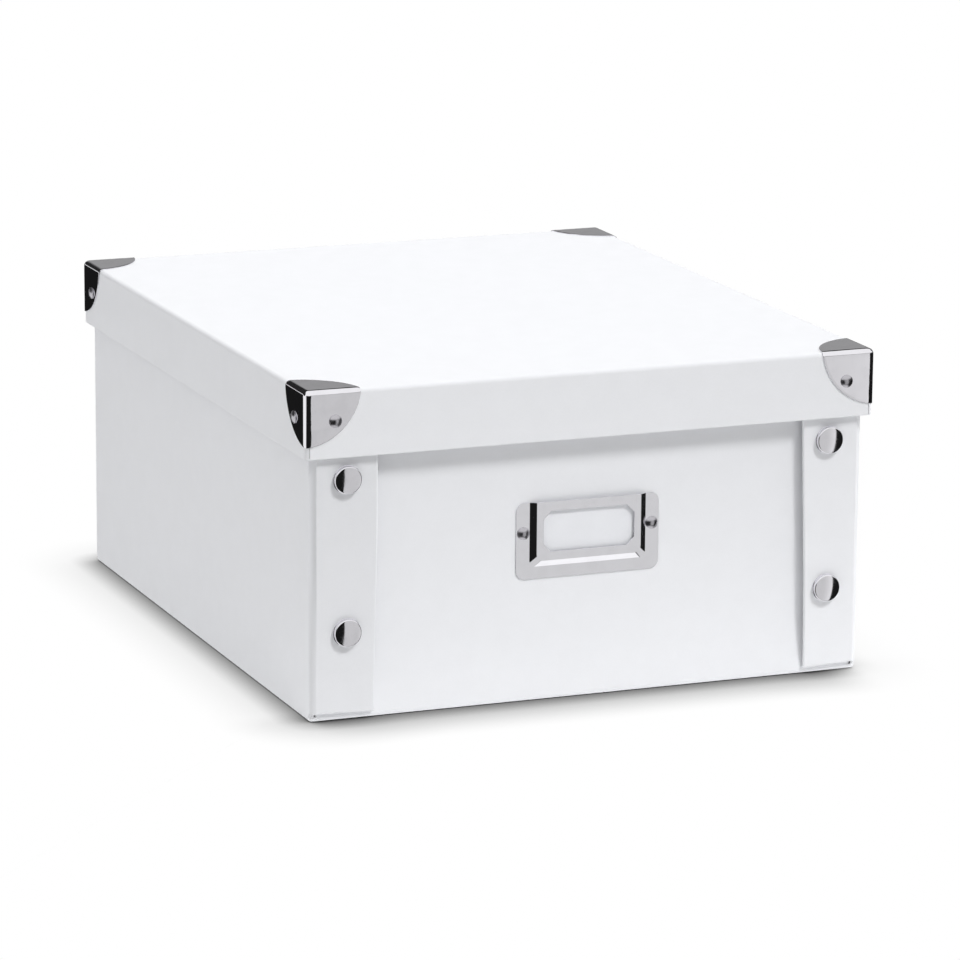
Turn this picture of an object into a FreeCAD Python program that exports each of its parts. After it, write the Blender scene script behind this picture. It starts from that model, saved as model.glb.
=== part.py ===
# A flat-packing cardboard storage box with a lift-off lid.
# Grey boards are wrapped in white paper, outside and inside, and at each fold only the paper runs on.
# The side walls end in flaps that turn round the corners and snap on to the front and back walls.
# Riveted metal corners hold the lid together, and a metal holder on the front wall takes a label card.
# The frame has +Z up, the front at -Y, and its origin under the middle of the base. Sizes are in millimetres.
import FreeCAD, Part
import math
import os

from FreeCAD import Placement, Rotation, Vector

# Overall size, over the metal corners and without the rivet heads
overall_width = 261.7
overall_depth = 308.7
overall_height = 144.0

# Stock
board_thickness = 1.4
paper_thickness = 0.2
corner_sheet = 0.5
holder_sheet = 0.5
card_thickness = 0.4

# Paper work: how far the cover turns over a raw edge, and how far it runs under the base
turn_in = 12.0
under_turn = 15.0

# Lid
skirt_height = 29.0
lid_fold_radius = 2.3
lid_board_round = 2.5
lid_side_clearance = 1.4
lid_end_clearance = 1.1

# Walls and flaps
base_fold_radius = 2.1
corner_fold_radius = 2.6
wall_side_gap = 1.0
wall_foot_gap = 0.1
wall_bend_height = 26.0
snap_gap = 2.6
flap_width = 29.0
flap_top_drop = 1.0
flap_foot_at_fold = 3.6
flap_foot_at_edge = 2.8

# Press studs: places, clearances, then the cap, socket, button and post
stud_from_side = 16.1
stud_low_height = 38.4
stud_below_rim = 37.2
hole_clearance = 0.05
shank_radius = 1.7
clinch = 0.25
clinch_radius = 2.3
cap_radius = 6.3
cap_rim_height = 0.7
cap_rim_step = 0.5
cap_height = 2.9
socket_radius = 5.2
socket_plate = 0.4
socket_wall_clearance = 0.15
button_flange_radius = 4.8
button_flange = 0.4
button_head_radius = 2.7
button_head_round = 0.3
snap_play = 0.15
post_radius = 4.9
post_flange = 0.6
post_dish = 0.3

# Rivets of the metal corners and of the label holder
rivet_head_radius = 2.8
rivet_head_height = 1.4
rivet_shank_radius = 1.2
rivet_tail_radius = 1.9
rivet_tail = 0.35
washer_radius = 2.6
washer_sheet = 0.3

# Metal corners. The bulge is the share of each leg where the curved edge crosses the lobe's middle
corner_leg = 25.0
corner_drop = 24.4
corner_bulge = 0.69
corner_fit = 0.05
corner_rivet_inset = 13.5

# Label holder: plate, raised pocket, window, rivets
holder_width = 66.0
holder_height = 33.5
holder_below_stud_middle = 1.5
holder_corner_radius = 4.0
pocket_foot_width = 53.6
pocket_front_width = 48.2
pocket_foot_up = 5.2
pocket_front_up = 8.0
pocket_depth = 1.5
pocket_corner_radius = 3.0
window_width = 42.0
window_height = 17.8
window_chamfer = 3.5
window_above_middle = 3.8
holder_rivet_spacing = 59.4
holder_rivet_above_middle = 3.5

# Label card
card_clearance = 0.4
card_wall_gap = 0.3
card_below_holder_top = 1.0

# Worked-out places, measured from the middle of the box outwards, and heights above the floor
panel = board_thickness + 2 * paper_thickness
lid_x = overall_width / 2 - corner_sheet - corner_fit
lid_y = overall_depth / 2 - corner_sheet - corner_fit
lid_top = overall_height - corner_sheet - corner_fit
rim_height = lid_top - panel
skirt_foot = lid_top - skirt_height
body_x = lid_x - panel - lid_side_clearance
flap_y = lid_y - panel - lid_end_clearance
wall_y = flap_y - panel - snap_gap
wall_foot_y = flap_y - panel - wall_foot_gap
wall_x = body_x - panel - wall_side_gap
base_x = body_x - base_fold_radius
base_y = wall_foot_y - base_fold_radius
fold_x = body_x - corner_fold_radius
fold_y = flap_y - corner_fold_radius
flap_edge_x = body_x - flap_width
flap_top = rim_height - flap_top_drop
stud_x = body_x - stud_from_side
stud_heights = (stud_low_height, rim_height - stud_below_rim)
stud_hole_radius = shank_radius + hole_clearance
rivet_hole_radius = rivet_shank_radius + hole_clearance
holder_z = sum(stud_heights) / 2 - holder_below_stud_middle
holder_foot = holder_z - holder_height / 2
holder_top = holder_z + holder_height / 2

OUTWARD_FRONT = Vector(0, -1, 0)
OUTWARD_LEFT = Vector(-1, 0, 0)
UP = Vector(0, 0, 1)


def slab(x0, x1, y0, y1, z0, z1):
    """A block between two values on each axis."""
    return Part.makeBox(x1 - x0, y1 - y0, z1 - z0, Vector(x0, y0, z0))


def centred_slab(x, y, z0, z1):
    """A block as far each side of the middle as x and y say."""
    return slab(-x, x, -y, y, z0, z1)


def prism(points, travel):
    """A closed outline of 3D points, moved along a vector."""
    return Part.Face(Part.makePolygon(points + [points[0]])).extrude(travel)


def rod(centre, direction, radius, length):
    """A round cutter, centred on a point."""
    return Part.makeCylinder(radius, length, centre - direction * (length / 2), direction)


def dome(radius, foot, height):
    """Outline points of a round dome: its edge, with the middle of its arc, and its top on the axis."""
    sphere = (radius ** 2 + height ** 2) / (2 * height)
    half_turn = math.asin(radius / sphere) / 2
    middle_height = foot + height - sphere * (1 - math.cos(half_turn))
    return [(radius, foot, sphere * math.sin(half_turn), middle_height), (0, foot + height)]


def turned(outline, foot, outward):
    """A solid turned about an axis that leaves foot in the direction outward.

    Each point is (radius, height). A point of four numbers starts an arc, through its second pair.
    """
    edges = []
    for i, point in enumerate(outline):
        following = outline[(i + 1) % len(outline)]
        start = Vector(point[0], 0, point[1])
        end = Vector(following[0], 0, following[1])
        if len(point) == 4:
            edges.append(Part.Arc(start, Vector(point[2], 0, point[3]), end).toShape())
        else:
            edges.append(Part.LineSegment(start, end).toShape())
    solid = Part.Face(Part.Wire(edges)).revolve(Vector(0, 0, 0), UP, 360)
    solid.Placement = Placement(foot, Rotation(UP, outward))
    return solid


def left_right(shape):
    """A shape and its mirror image on the other side."""
    return [shape, shape.mirror(Vector(0, 0, 0), Vector(1, 0, 0))]


def front_back(shape):
    """A shape and its mirror image at the other end."""
    return [shape, shape.mirror(Vector(0, 0, 0), Vector(0, 1, 0))]


def four_corners(shape):
    """A shape at the front left, front right, back left and back right."""
    return [copy for end in front_back(shape) for copy in left_right(end)]


def joined(shapes):
    """Several touching shapes as one solid."""
    return shapes[0].multiFuse(shapes[1:]).removeSplitter()


def inset(outline, distances):
    """An anticlockwise outline with each edge moved inwards by its own distance."""
    count = len(outline)
    lines = []
    for i, distance in enumerate(distances):
        (x0, y0), (x1, y1) = outline[i], outline[(i + 1) % count]
        length = math.hypot(x1 - x0, y1 - y0)
        normal_x, normal_y = (y0 - y1) / length, (x1 - x0) / length
        lines.append((normal_x, normal_y, normal_x * x0 + normal_y * y0 + distance))
    corners = []
    for i in range(count):
        (ax, ay, a), (bx, by, b) = lines[i - 1], lines[i]
        cross = ax * by - ay * bx
        corners.append(((a * by - b * ay) / cross, (ax * b - bx * a) / cross))
    return corners


def layer(outline, place, depth_from, depth_to):
    """One layer of a flat panel, between two depths below the panel's outer face."""
    near = [place(u, v, depth_from) for u, v in outline]
    return prism(near, place(0, 0, depth_to) - place(0, 0, depth_from))


def flat_panel(outline, raw_edges, place):
    """Board, cover paper and liner of a flat panel.

    The cover turns over each raw edge and runs on over the inner face. At a fold it stops with the board.
    """
    board_outline = inset(outline, [raw * paper_thickness for raw in raw_edges])
    liner_outline = inset(outline, [raw * turn_in for raw in raw_edges])
    board = layer(board_outline, place, paper_thickness, panel - paper_thickness)
    liner = layer(liner_outline, place, panel - paper_thickness, panel)
    cover = layer(outline, place, 0, panel).cut([board, liner])
    return board, cover, liner


def front_wall_layer(depth_from, depth_to, half_width, top):
    """One layer of the front wall, whose foot leans out to the base's fold."""
    profile = ((wall_foot_y, base_fold_radius), (wall_y, wall_bend_height), (wall_y, top))
    outer = [Vector(-half_width, depth_from - y, z) for y, z in profile]
    inner = [Vector(-half_width, depth_to - y, z) for y, z in profile]
    return prism(outer + inner[::-1], Vector(2 * half_width, 0, 0))


def front_wall():
    """Board, cover and liner of the front wall, which folds only at its foot."""
    inner = panel - paper_thickness
    board = front_wall_layer(paper_thickness, inner, wall_x - paper_thickness, rim_height - paper_thickness)
    liner = front_wall_layer(inner, panel, wall_x - turn_in, rim_height - turn_in)
    cover = front_wall_layer(0, panel, wall_x, rim_height).cut([board, liner])
    return board, cover, liner


def left_wall():
    """Board, cover and liner of the left wall, which folds at its foot and at both flaps."""
    foot = base_fold_radius
    outline = [(-fold_y, foot), (fold_y, foot), (fold_y, rim_height), (-fold_y, rim_height)]
    return flat_panel(outline, (0, 0, 1, 0), lambda u, v, depth: Vector(depth - body_x, u, v))


def front_left_flap():
    """Board, cover and liner of the flap, whose foot slopes down towards its free edge."""
    outline = [
        (-fold_x, flap_foot_at_fold),
        (-flap_edge_x, flap_foot_at_edge),
        (-flap_edge_x, flap_top),
        (-fold_x, flap_top),
    ]
    return flat_panel(outline, (1, 1, 1, 0), lambda u, v, depth: Vector(u, depth - flap_y, v))


def base():
    """Board, cover strip, bottom sheet and liner of the base. The strip is the walls' cover turned under."""
    board = centred_slab(base_x, base_y, paper_thickness, panel - paper_thickness)
    liner = centred_slab(base_x, base_y, panel - paper_thickness, panel)
    sheet = centred_slab(base_x - under_turn, base_y - under_turn, 0, paper_thickness)
    strip = centred_slab(base_x, base_y, 0, paper_thickness).cut(sheet)
    return board, strip, sheet, liner


def paper_bend(radius, place, travel):
    """A quarter turn of paper with this outer radius, at the low left of its centre."""
    def at(r, degrees):
        angle = math.radians(degrees)
        return place(r * math.cos(angle), r * math.sin(angle))

    inner = radius - paper_thickness
    edges = [
        Part.Arc(at(radius, 180), at(radius, 225), at(radius, 270)).toShape(),
        Part.LineSegment(at(radius, 270), at(inner, 270)).toShape(),
        Part.Arc(at(inner, 270), at(inner, 225), at(inner, 180)).toShape(),
        Part.LineSegment(at(inner, 180), at(radius, 180)).toShape(),
    ]
    return Part.Face(Part.Wire(edges)).extrude(travel)


def side_fold(radius):
    """Paper at the fold between the base and the left wall."""
    centre = Vector(-base_x, -base_y, base_fold_radius)
    return paper_bend(radius, lambda u, v: centre + Vector(u, 0, v), Vector(0, 2 * base_y, 0))


def end_fold(radius):
    """Paper at the fold between the base and the front wall."""
    centre = Vector(-wall_x, -base_y, base_fold_radius)
    return paper_bend(radius, lambda u, v: centre + Vector(0, u, v), Vector(2 * wall_x, 0, 0))


def flap_fold(radius, foot, top):
    """Paper at the upright fold between the left wall and the front left flap."""
    centre = Vector(-fold_x, -fold_y, foot)
    return paper_bend(radius, lambda u, v: centre + Vector(u, v, 0), UP * (top - foot))


def fold_papers():
    """Cover pieces and liner pieces at every fold of the body."""
    inner = panel - paper_thickness
    liner_foot = flap_foot_at_fold + turn_in
    liner_top = flap_top - turn_in
    covers = left_right(side_fold(base_fold_radius))
    covers += front_back(end_fold(base_fold_radius))
    covers += four_corners(flap_fold(corner_fold_radius, flap_foot_at_fold, flap_top))
    liners = left_right(side_fold(base_fold_radius - inner))
    liners += front_back(end_fold(base_fold_radius - inner))
    liners += four_corners(flap_fold(corner_fold_radius - inner, liner_foot, liner_top))
    return covers, liners


def stud_holes():
    """Cutters through the flaps and the walls behind them, at all eight press studs."""
    length = 2 * (2 * panel + snap_gap)
    holes = []
    for height in stud_heights:
        hole = rod(Vector(-stud_x, -wall_y, height), OUTWARD_FRONT, stud_hole_radius, length)
        holes += four_corners(hole)
    return holes


def holder_rivet_feet(outward_distance):
    """Points on the axes of the label holder's rivets, this far out from the front wall."""
    height = holder_z + holder_rivet_above_middle
    side = holder_rivet_spacing / 2
    return [Vector(x, -wall_y - outward_distance, height) for x in (-side, side)]


def holder_rivet_holes():
    """Cutters for the label holder's rivets."""
    return [rod(foot, OUTWARD_FRONT, rivet_hole_radius, 4 * panel) for foot in holder_rivet_feet(0)]


def body_parts():
    """Every board and paper of the box below the lid."""
    front_board, front_cover, front_liner = front_wall()
    left_board, left_cover, left_liner = left_wall()
    flap_board, flap_cover, flap_liner = front_left_flap()
    base_board, base_strip, base_sheet, base_liner = base()
    fold_covers, fold_liners = fold_papers()
    covers = front_back(front_cover) + left_right(left_cover) + four_corners(flap_cover)
    liners = front_back(front_liner) + left_right(left_liner) + four_corners(flap_liner)
    holes = stud_holes() + holder_rivet_holes()
    front, back = front_back(front_board)
    left, right = left_right(left_board)
    parts = {
        "base_board": base_board,
        "base_cover_sheet": base_sheet,
        "front_wall_board": front.cut(holes),
        "back_wall_board": back.cut(holes),
        "left_wall_board": left,
        "right_wall_board": right,
        "body_cover_paper": joined(covers + fold_covers + [base_strip]).cut(holes),
        "body_liner_paper": joined(liners + fold_liners + [base_liner]).cut(holes),
    }
    places = ("front_left", "front_right", "back_left", "back_right")
    for place, board in zip(places, four_corners(flap_board)):
        parts[place + "_flap_board"] = board.cut(holes)
    return parts


def lid_block(depth, foot, edge_radius):
    """The lid's outer form moved inwards by a depth, from a height up, with its edges rounded."""
    block = centred_slab(lid_x - depth, lid_y - depth, foot, lid_top - depth)
    rounded = [edge for edge in block.Edges if edge.CenterOfMass.z > foot + paper_thickness]
    return block.makeFillet(edge_radius, rounded)


def front_corner_rivet_foot():
    """Point on the axis of the rivet in the front lobe of the front left corner, at the metal's face."""
    x = overall_width / 2 - corner_rivet_inset
    return Vector(-x, -overall_depth / 2, overall_height - corner_rivet_inset)


def side_corner_rivet_foot():
    """Point on the axis of the rivet in the side lobe of the front left corner, at the metal's face."""
    y = overall_depth / 2 - corner_rivet_inset
    return Vector(-overall_width / 2, -y, overall_height - corner_rivet_inset)


def corner_rivet_holes():
    """Cutters for the two rivets of the front left corner."""
    length = 4 * (panel + corner_sheet)
    front = rod(front_corner_rivet_foot(), OUTWARD_FRONT, rivet_hole_radius, length)
    side = rod(side_corner_rivet_foot(), OUTWARD_LEFT, rivet_hole_radius, length)
    return [front, side]


def lid_parts():
    """Every board and paper of the lid. The front and back skirts stand between the side skirts."""
    paper = paper_thickness
    board_foot = skirt_foot + paper
    core = lid_block(paper, board_foot, lid_fold_radius - paper)
    boards = lid_block(paper, board_foot, lid_board_round)
    inner_x, inner_y, inner_top = lid_x - panel, lid_y - panel, lid_top - panel
    seam_x, seam_y, seam_top = inner_x + paper, inner_y + paper, inner_top + paper
    holes = [hole for cutter in corner_rivet_holes() for hole in four_corners(cutter)]
    top = boards.common(centred_slab(lid_x, lid_y, seam_top, lid_top))
    left = boards.common(slab(-lid_x, -seam_x, -lid_y, lid_y, board_foot, seam_top)).cut(holes)
    front = boards.common(slab(-seam_x, seam_x, -lid_y, -seam_y, board_foot, seam_top)).cut(holes)
    fronts, sides = front_back(front), left_right(left)

    skin = lid_block(0, skirt_foot, lid_fold_radius).cut(core)
    hollow = centred_slab(inner_x, inner_y, skirt_foot, inner_top)
    behind_boards = centred_slab(seam_x, seam_y, board_foot, seam_top)
    turned_in = centred_slab(seam_x, seam_y, skirt_foot, board_foot + turn_in).cut(hollow)
    skin = skin.cut(centred_slab(inner_x, inner_y, skirt_foot, board_foot))
    liner = behind_boards.cut([hollow, turned_in])
    return {
        "lid_top_board": top,
        "lid_front_skirt_board": fronts[0],
        "lid_back_skirt_board": fronts[1],
        "lid_left_skirt_board": sides[0],
        "lid_right_skirt_board": sides[1],
        "lid_cover_paper": joined([skin, turned_in]).cut(holes),
        "lid_liner_paper": liner.cut(holes),
    }


def lobe(leg_u, leg_v, place, travel):
    """A prism over the curved triangle between a corner and the ends of its two legs."""
    bulge = place(corner_bulge * leg_u, corner_bulge * leg_v)
    edges = [
        Part.LineSegment(place(0, 0), place(leg_u, 0)).toShape(),
        Part.Arc(place(leg_u, 0), bulge, place(0, leg_v)).toShape(),
        Part.LineSegment(place(0, leg_v), place(0, 0)).toShape(),
    ]
    return Part.Face(Part.Wire(edges)).extrude(travel)


def front_left_corner():
    """A pressed metal corner of three lobes, on top, in front and at the side."""
    foot = overall_height - corner_leg - corner_drop
    inside = lid_block(-corner_fit, foot, lid_fold_radius + corner_fit)
    outside = lid_block(-corner_fit - corner_sheet, foot, lid_fold_radius + corner_fit + corner_sheet)
    metal = outside.cut(inside)
    tip = Vector(-overall_width / 2, -overall_depth / 2, overall_height)
    top = lobe(corner_leg, corner_leg, lambda u, v: tip + Vector(u, v, 0), UP * -corner_drop)
    front = lobe(corner_leg, corner_drop, lambda u, v: tip + Vector(u, 0, -v), Vector(0, corner_leg, 0))
    side = lobe(corner_leg, corner_drop, lambda u, v: tip + Vector(0, u, -v), Vector(corner_leg, 0, 0))
    return metal.common(top).common(front).common(side).cut(corner_rivet_holes())


def rivet(stack, foot, outward):
    """A domed rivet whose tail spreads behind its washer. foot is on the outer face of the stack."""
    inner = -stack - washer_sheet
    tail_and_shank = [
        (0, inner - rivet_tail),
        (rivet_tail_radius, inner - rivet_tail),
        (rivet_tail_radius, inner),
        (rivet_shank_radius, inner),
        (rivet_shank_radius, 0),
    ]
    return turned(tail_and_shank + dome(rivet_head_radius, 0, rivet_head_height), foot, outward)


def washer(stack, foot, outward):
    """The thin washer under a rivet's tail."""
    outline = [
        (rivet_hole_radius, -stack - washer_sheet),
        (washer_radius, -stack - washer_sheet),
        (washer_radius, -stack),
        (rivet_hole_radius, -stack),
    ]
    return turned(outline, foot, outward)


def corner_parts():
    """The four metal corners with their rivets and washers."""
    stack = corner_sheet + corner_fit + panel
    parts = {}
    places = ("front_left", "front_right", "back_left", "back_right")
    for place, corner in zip(places, four_corners(front_left_corner())):
        parts[place + "_lid_corner"] = corner
    feet = ((front_corner_rivet_foot(), OUTWARD_FRONT), (side_corner_rivet_foot(), OUTWARD_LEFT))
    rivets = []
    washers = []
    for foot, outward in feet:
        rivets += four_corners(rivet(stack, foot, outward))
        washers += four_corners(washer(stack, foot, outward))
    parts["lid_corner_rivets"] = Part.makeCompound(rivets)
    parts["lid_corner_washers"] = Part.makeCompound(washers)
    return parts


def stud_cap():
    """Domed cap on the flap, whose shank holds the socket behind. Height 0 is the wall's outer face."""
    face = snap_gap + panel
    plate = snap_gap - socket_plate
    rim = face + cap_rim_height
    shank_and_rim = [
        (0, plate - clinch),
        (clinch_radius, plate - clinch),
        (clinch_radius, plate),
        (shank_radius, plate),
        (shank_radius, face),
        (cap_radius, face),
        (cap_radius, rim),
    ]
    return shank_and_rim + dome(cap_radius - cap_rim_step, rim, cap_height - cap_rim_height)


def button_top():
    """Height of the button's head above the wall, clear of the cap's clinched shank and of its own."""
    return snap_gap - socket_plate - clinch - snap_play - clinch


def stud_socket():
    """Ring behind the flap that snaps over the button."""
    foot = button_flange + snap_play
    bore = button_head_radius + socket_wall_clearance
    plate = snap_gap - socket_plate
    return [
        (bore, foot),
        (socket_radius, foot),
        (socket_radius, snap_gap),
        (stud_hole_radius, snap_gap),
        (stud_hole_radius, plate),
        (bore, plate),
    ]


def stud_button():
    """Round button in front of the wall, held by the post."""
    top = button_top()
    return [
        (stud_hole_radius, 0),
        (button_flange_radius, 0),
        (button_flange_radius, button_flange),
        (button_head_radius - button_head_round, button_flange),
        (button_head_radius, button_flange + button_head_round),
        (button_head_radius, top - button_head_round),
        (button_head_radius - button_head_round, top),
        (stud_hole_radius, top),
    ]


def stud_post():
    """Dished disc inside the wall, whose shank goes through the wall and clinches over the button."""
    face = -panel - post_flange
    dish_radius = post_radius - 2 * post_dish
    top = button_top()
    return [
        (0, face + post_dish),
        (dish_radius - post_dish, face + post_dish),
        (dish_radius, face),
        (post_radius, face),
        (post_radius, -panel),
        (shank_radius, -panel),
        (shank_radius, top),
        (clinch_radius, top),
        (clinch_radius, top + clinch),
        (0, top + clinch),
    ]


def stud_parts():
    """Eight press studs, as four kinds of piece at the front and four at the back."""
    kinds = {"caps": stud_cap(), "sockets": stud_socket(), "buttons": stud_button(), "posts": stud_post()}
    parts = {}
    for kind, outline in kinds.items():
        fronts = []
        backs = []
        for height in stud_heights:
            piece = turned(outline, Vector(-stud_x, -wall_y, height), OUTWARD_FRONT)
            front, back = front_back(piece)
            fronts += left_right(front)
            backs += left_right(back)
        parts["front_stud_" + kind] = Part.makeCompound(fronts)
        parts["back_stud_" + kind] = Part.makeCompound(backs)
    return parts


def holder_point(x, height, distance):
    """A point of the label holder, this far out from the front wall."""
    return Vector(x, -wall_y - distance, height)


def pocket_wire(width, foot, distance):
    """Outline of the raised pocket at one distance. It runs on past the top, to be cut off there."""
    half = width / 2
    r = pocket_corner_radius
    high = holder_top + pocket_corner_radius
    near = r * (1 - math.sqrt(0.5))

    def at(x, z):
        return holder_point(x, z, distance)

    edges = [
        Part.LineSegment(at(-half, high), at(-half, foot + r)).toShape(),
        Part.Arc(at(-half, foot + r), at(near - half, foot + near), at(r - half, foot)).toShape(),
        Part.LineSegment(at(r - half, foot), at(half - r, foot)).toShape(),
        Part.Arc(at(half - r, foot), at(half - near, foot + near), at(half, foot + r)).toShape(),
        Part.LineSegment(at(half, foot + r), at(half, high)).toShape(),
        Part.LineSegment(at(half, high), at(-half, high)).toShape(),
    ]
    return Part.Wire(edges)


def pocket_form(distance):
    """The pocket's tapered form, from a distance out from the wall to its depth further out."""
    wide = pocket_wire(pocket_foot_width, holder_foot + pocket_foot_up, distance)
    narrow = pocket_wire(pocket_front_width, holder_foot + pocket_front_up, distance + pocket_depth)
    return Part.makeLoft([wide, narrow], True, True)


def window_cutter():
    """A prism through the holder's window, a rectangle with cut corners."""
    u, v, cut = window_width / 2, window_height / 2, window_chamfer
    low = [(-u, cut - v), (cut - u, -v), (u - cut, -v), (u, cut - v)]
    high = [(-x, -z) for x, z in low]
    middle = holder_z + window_above_middle
    return prism([holder_point(x, middle + z, 0) for x, z in low + high], OUTWARD_FRONT * holder_height)


def label_holder():
    """Thin plate with a raised pocket that is open at the top, and a window with cut corners."""
    half = holder_width / 2
    plate = slab(-half, half, -wall_y - holder_sheet, -wall_y, holder_foot, holder_top)
    short_edges = [edge for edge in plate.Edges if edge.Length < 2 * holder_sheet]
    plate = plate.makeFillet(holder_corner_radius, short_edges)
    above = slab(-half, half, -wall_y - holder_height, -wall_y, holder_top, holder_top + holder_height)
    shell = joined([plate, pocket_form(holder_sheet)])
    return shell.cut([pocket_form(0), above, window_cutter()] + holder_rivet_holes())


def label_card():
    """Plain card in the pocket, with corners cut to clear the pocket's round ones."""
    taper = (card_wall_gap + card_thickness) / pocket_depth
    pocket_width = pocket_foot_width + (pocket_front_width - pocket_foot_width) * taper
    pocket_up = pocket_foot_up + (pocket_front_up - pocket_foot_up) * taper
    half = pocket_width / 2 - card_clearance
    foot = holder_foot + pocket_up + card_clearance
    top = holder_top - card_below_holder_top
    cut = pocket_corner_radius
    right = [(half - cut, foot), (half, foot + cut), (half, top)]
    left = [(-x, z) for x, z in reversed(right)]
    corners = [holder_point(x, z, card_wall_gap) for x, z in right + left]
    return prism(corners, OUTWARD_FRONT * card_thickness)


def holder_parts():
    """The label holder with its card, rivets and washers."""
    stack = holder_sheet + panel
    feet = holder_rivet_feet(holder_sheet)
    return {
        "label_holder": label_holder(),
        "label_card": label_card(),
        "label_holder_rivets": Part.makeCompound([rivet(stack, foot, OUTWARD_FRONT) for foot in feet]),
        "label_holder_washers": Part.makeCompound([washer(stack, foot, OUTWARD_FRONT) for foot in feet]),
    }


def main():
    """Writes every sub-part to parts/NODE.step."""
    os.makedirs("parts", exist_ok=True)
    parts = {**body_parts(), **lid_parts(), **corner_parts(), **stud_parts(), **holder_parts()}
    for name, shape in parts.items():
        print(name, len(shape.Solids), round(shape.Volume, 2), shape.isValid())
        shape.exportStep("parts/" + name + ".step")


main()
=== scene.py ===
"""Looks of a flat-packing cardboard storage box with a lift-off lid.

White laminated paper wraps grey board. Press studs hold the flaps to the walls, riveted metal corners
hold the lid, and a metal holder on the front wall takes a label card. Metres, +Z up, the front at -Y.
"""

import logging
import math
from dataclasses import dataclass, replace
from enum import Enum
from functools import partial, reduce
from typing import Callable, Sequence

import bmesh
import bpy
from mathutils import Matrix, Vector


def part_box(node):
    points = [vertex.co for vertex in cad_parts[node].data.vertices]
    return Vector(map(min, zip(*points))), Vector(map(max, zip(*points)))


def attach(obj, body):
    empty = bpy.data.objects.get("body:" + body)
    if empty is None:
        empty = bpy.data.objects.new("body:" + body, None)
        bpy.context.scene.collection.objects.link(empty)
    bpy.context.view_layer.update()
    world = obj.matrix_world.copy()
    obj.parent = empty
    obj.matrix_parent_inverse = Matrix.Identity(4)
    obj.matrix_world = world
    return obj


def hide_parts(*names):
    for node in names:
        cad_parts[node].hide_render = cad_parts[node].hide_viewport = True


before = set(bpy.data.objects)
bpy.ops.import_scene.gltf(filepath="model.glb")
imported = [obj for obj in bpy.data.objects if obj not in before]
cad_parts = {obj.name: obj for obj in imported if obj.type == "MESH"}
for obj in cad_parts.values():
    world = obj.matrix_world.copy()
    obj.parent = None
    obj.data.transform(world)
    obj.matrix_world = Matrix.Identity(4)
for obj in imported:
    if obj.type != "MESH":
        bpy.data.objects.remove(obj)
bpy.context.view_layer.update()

Mesh = bmesh.types.BMesh
Face = bmesh.types.BMFace
Edge = bmesh.types.BMEdge
Node = bpy.types.Node
Tree = bpy.types.NodeTree
Socket = bpy.types.NodeSocket
Sockets = bpy.types.bpy_prop_collection
Material = bpy.types.Material
Thing = bpy.types.Object
Outline = list[tuple[float, float]]
Signs = Sequence[tuple[int, int]]

LOG = logging.getLogger("storage_box")
MM = 0.001
LEFT = Vector((-1, 0, 0))
RIGHT = Vector((1, 0, 0))
FRONT = Vector((0, -1, 0))
UP = Vector((0, 0, 1))
DOWN = Vector((0, 0, -1))
BLACK = (0, 0, 0, 1)

# Stock, and how far the cover paper turns over a raw edge
PAPER = 0.2 * MM
PANEL = 1.8 * MM
TURN_IN = 12 * MM

# Soft spans round the outside of a left flap, where the cover gets a painted shade: where each starts, is
# full, starts to fade and ends
FLAP_ACROSS = (-128.2 * MM, -127.4 * MM, -98.0 * MM, -97.4 * MM)
FLAP_OUT = (148.4 * MM, 149.8 * MM, 151.3 * MM, 151.8 * MM)
FLAP_UP = (-2.0 * MM, -1.0 * MM, 141.7 * MM, 142.0 * MM)

# Signs that mirror a front left shape to the front left, front right, back left and back right
CORNERS = ((1, 1), (-1, 1), (1, -1), (-1, -1))
SIDES = ((1, 1), (-1, 1))
ENDS = ((1, 1), (1, -1))
CORNER_NAMES = ("front_left", "front_right", "back_left", "back_right")
END_NAMES = (("front", 1), ("back", -1))

# Cosine from which faces point the same way, and angle from which edges look sharp
ALIKE = 0.9
SHARP_FROM = math.radians(40)

# How near to each other points are the same, and how near to a plane they lie on it
SAME_PLACE = 1e-6
ON_PLANE = 1e-7


class Body(Enum):
    """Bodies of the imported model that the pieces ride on."""

    BOX = "box"
    LID = "lid"
    CARD = "label_card"


class Slot(Enum):
    """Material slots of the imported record."""

    BOARD = "grey_board"
    COVER = "white_cover_paper"
    LINER = "white_liner_paper"
    CARD = "label_card"
    CORNER = "corner_metal"
    RIVET = "rivet_metal"
    STUD = "stud_metal"
    HOLDER = "holder_metal"


EVEN_SHADED = (Slot.COVER, Slot.LINER, Slot.HOLDER, Slot.CARD)


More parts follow.
